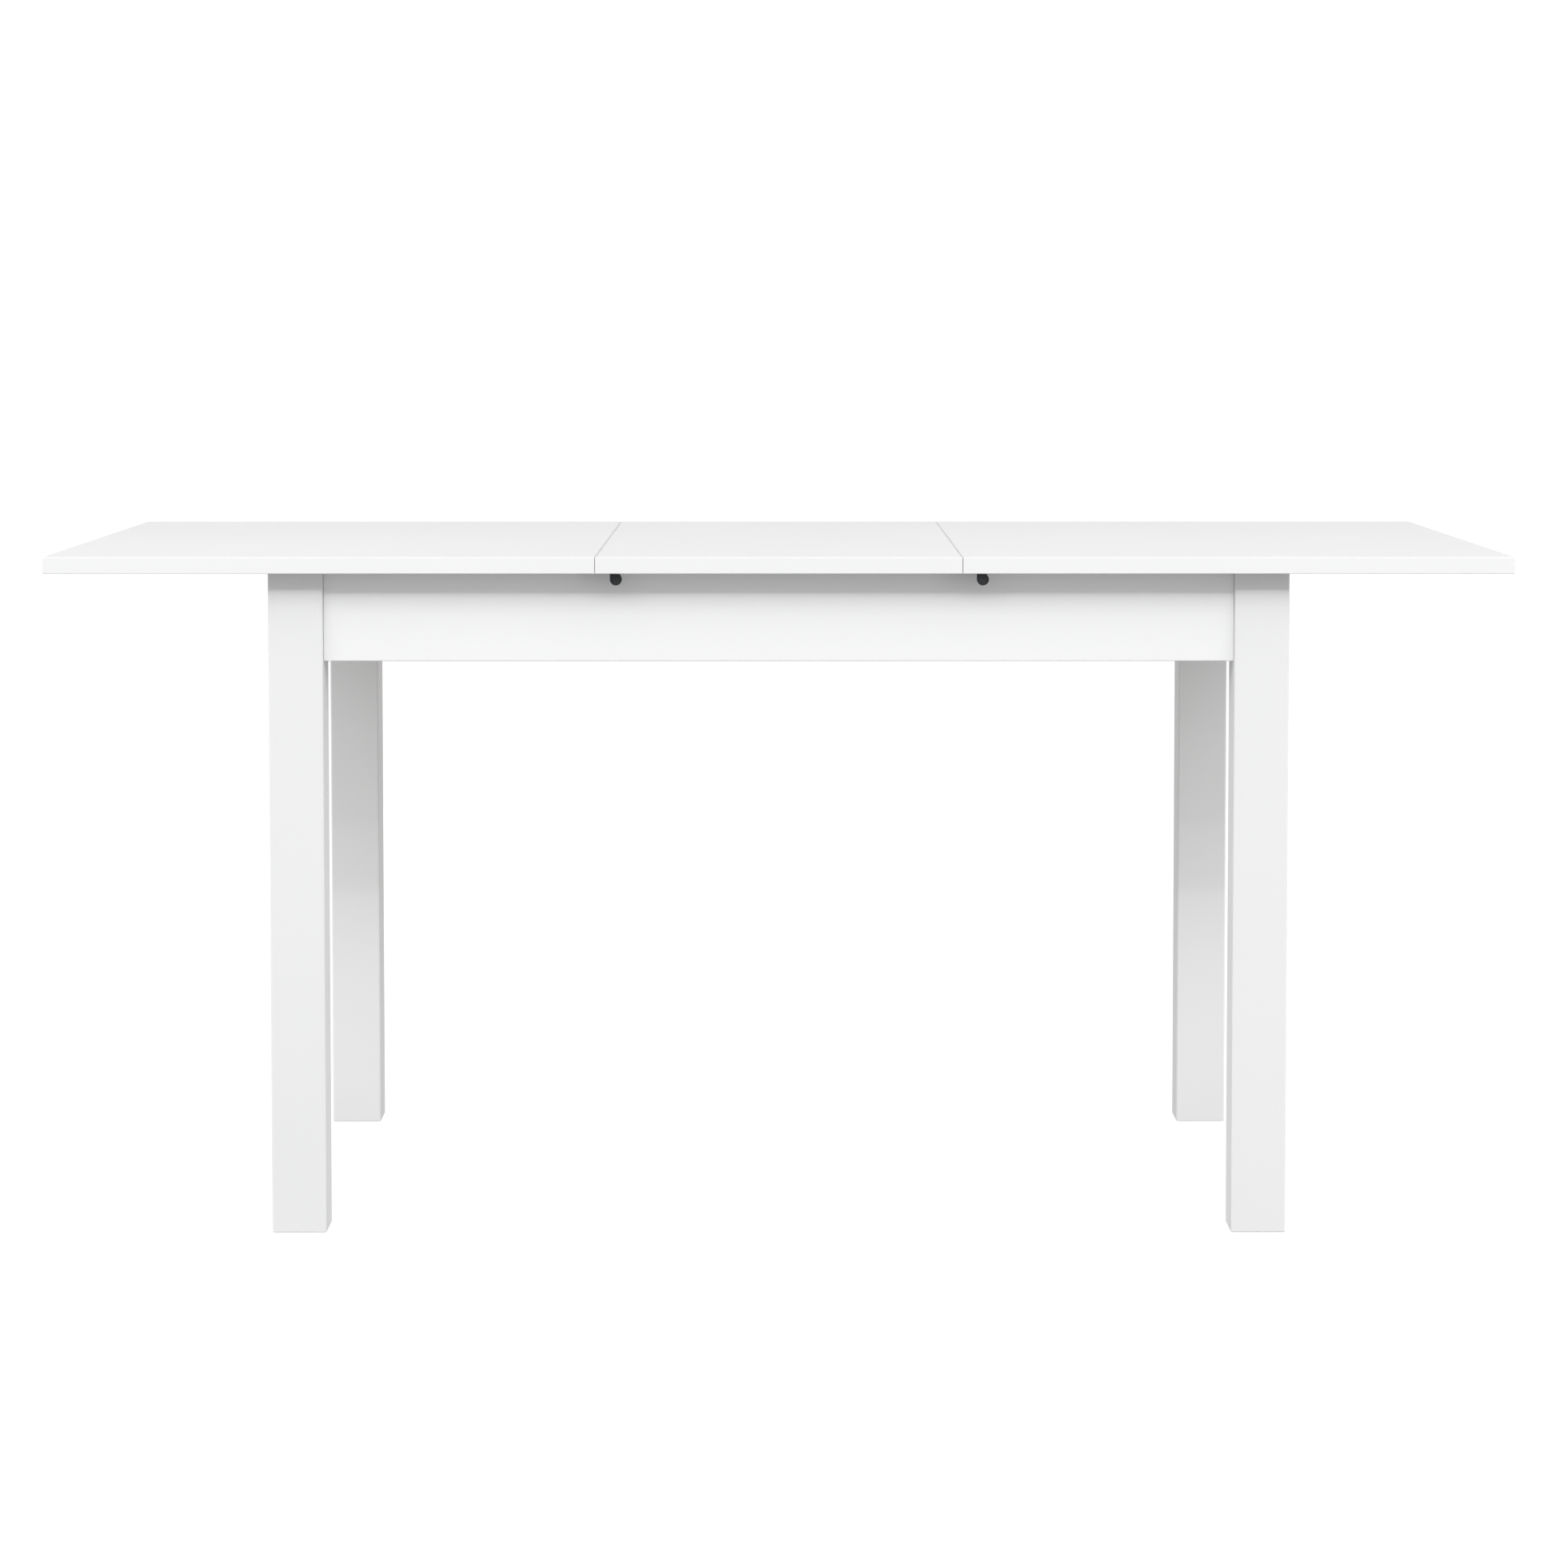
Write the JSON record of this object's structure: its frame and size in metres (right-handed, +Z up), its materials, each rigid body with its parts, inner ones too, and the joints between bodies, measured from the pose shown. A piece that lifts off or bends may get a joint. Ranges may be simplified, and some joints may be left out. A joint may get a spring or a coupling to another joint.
{
  "type": "extending dining table",
  "caption": "Extending dining table: square legs and an apron frame, half tops sliding on grooved rails, a lift-out centre leaf and hooked latches across the seams.",
  "frame": {"origin": "on the floor under the middle of the table", "axes": "+X along the extended top to the right, +Y from the front edge to the rear edge, +Z up"},
  "size_m": [1.6, 0.8, 0.752],
  "materials": {
    "white_lacquer": "satin white lacquer on board and solid legs",
    "beech": "planed and waxed beech",
    "dark_plastic": "moulded anthracite plastic",
    "zinc_steel": "zinc-plated steel",
    "glide_plastic": "grey nylon"
  },
  "bodies": {
    "frame": {"front_left_leg": "white_lacquer", "front_right_leg": "white_lacquer", "rear_left_leg": "white_lacquer", "rear_right_leg": "white_lacquer", "front_apron": "white_lacquer", "rear_apron": "white_lacquer", "left_apron": "white_lacquer", "right_apron": "white_lacquer", "front_rail": "beech", "rear_rail": "beech", "left_cross_bearer": "beech", "right_cross_bearer": "beech", "front_left_corner_bracket": "zinc_steel", "front_left_hanger_bolt": "zinc_steel", "front_left_wing_nut": "zinc_steel", "front_left_glide": "glide_plastic", "front_right_corner_bracket": "zinc_steel", "front_right_hanger_bolt": "zinc_steel", "front_right_wing_nut": "zinc_steel", "front_right_glide": "glide_plastic", "rear_left_corner_bracket": "zinc_steel", "rear_left_hanger_bolt": "zinc_steel", "rear_left_wing_nut": "zinc_steel", "rear_left_glide": "glide_plastic", "rear_right_corner_bracket": "zinc_steel", "rear_right_hanger_bolt": "zinc_steel", "rear_right_wing_nut": "zinc_steel", "rear_right_glide": "glide_plastic"},
    "left_half": {"left_top": "white_lacquer", "front_left_runner": "beech", "rear_left_runner": "beech", "front_left_latch_strike": "zinc_steel", "rear_left_latch_strike": "zinc_steel"},
    "right_half": {"right_top": "white_lacquer", "front_right_runner": "beech", "rear_right_runner": "beech", "front_right_latch_pin": "zinc_steel", "rear_right_latch_pin": "zinc_steel"},
    "leaf": {"centre_leaf": "white_lacquer", "front_left_latch_pin": "zinc_steel", "rear_left_latch_pin": "zinc_steel", "front_right_latch_strike": "zinc_steel", "rear_right_latch_strike": "zinc_steel"},
    "front_left_latch": {"front_left_latch_lever": "zinc_steel", "front_left_latch_knob": "dark_plastic"},
    "front_right_latch": {"front_right_latch_lever": "zinc_steel", "front_right_latch_knob": "dark_plastic"},
    "rear_left_latch": {"rear_left_latch_lever": "zinc_steel", "rear_left_latch_knob": "dark_plastic"},
    "rear_right_latch": {"rear_right_latch_lever": "zinc_steel", "rear_right_latch_knob": "dark_plastic"}
  },
  "joints": [
    {"name": "left_half_slide", "type": "slide", "parent": "frame", "child": "left_half", "axis": [-1, 0, 0], "range_m": [-0.2, 0]},
    {"name": "right_half_slide", "type": "slide", "parent": "frame", "child": "right_half", "axis": [1, 0, 0], "range_m": [-0.2, 0]},
    {"name": "leaf_lift", "type": "slide", "parent": "frame", "child": "leaf", "axis": [0, 0, 1], "range_m": [0, 0.45]},
    {"name": "front_left_latch_turn", "type": "hinge", "parent": "leaf", "child": "front_left_latch", "pos_m": [-0.1775, -0.362, 0.7328], "axis": [0, 0, 1], "range_deg": [0, 55]},
    {"name": "front_right_latch_turn", "type": "hinge", "parent": "right_half", "child": "front_right_latch", "pos_m": [0.2225, -0.362, 0.7328], "axis": [0, 0, 1], "range_deg": [0, 55]},
    {"name": "rear_left_latch_turn", "type": "hinge", "parent": "leaf", "child": "rear_left_latch", "pos_m": [-0.1775, 0.362, 0.7328], "axis": [0, 0, -1], "range_deg": [0, 55]},
    {"name": "rear_right_latch_turn", "type": "hinge", "parent": "right_half", "child": "rear_right_latch", "pos_m": [0.2225, 0.362, 0.7328], "axis": [0, 0, -1], "range_deg": [0, 55]}
  ],
  "couplings": [
    {"joint": "right_half_slide", "follows": "left_half_slide", "ratio": 1},
    {"joint": "leaf_lift", "follows": "left_half_slide", "ratio": -2.25}
  ]
}
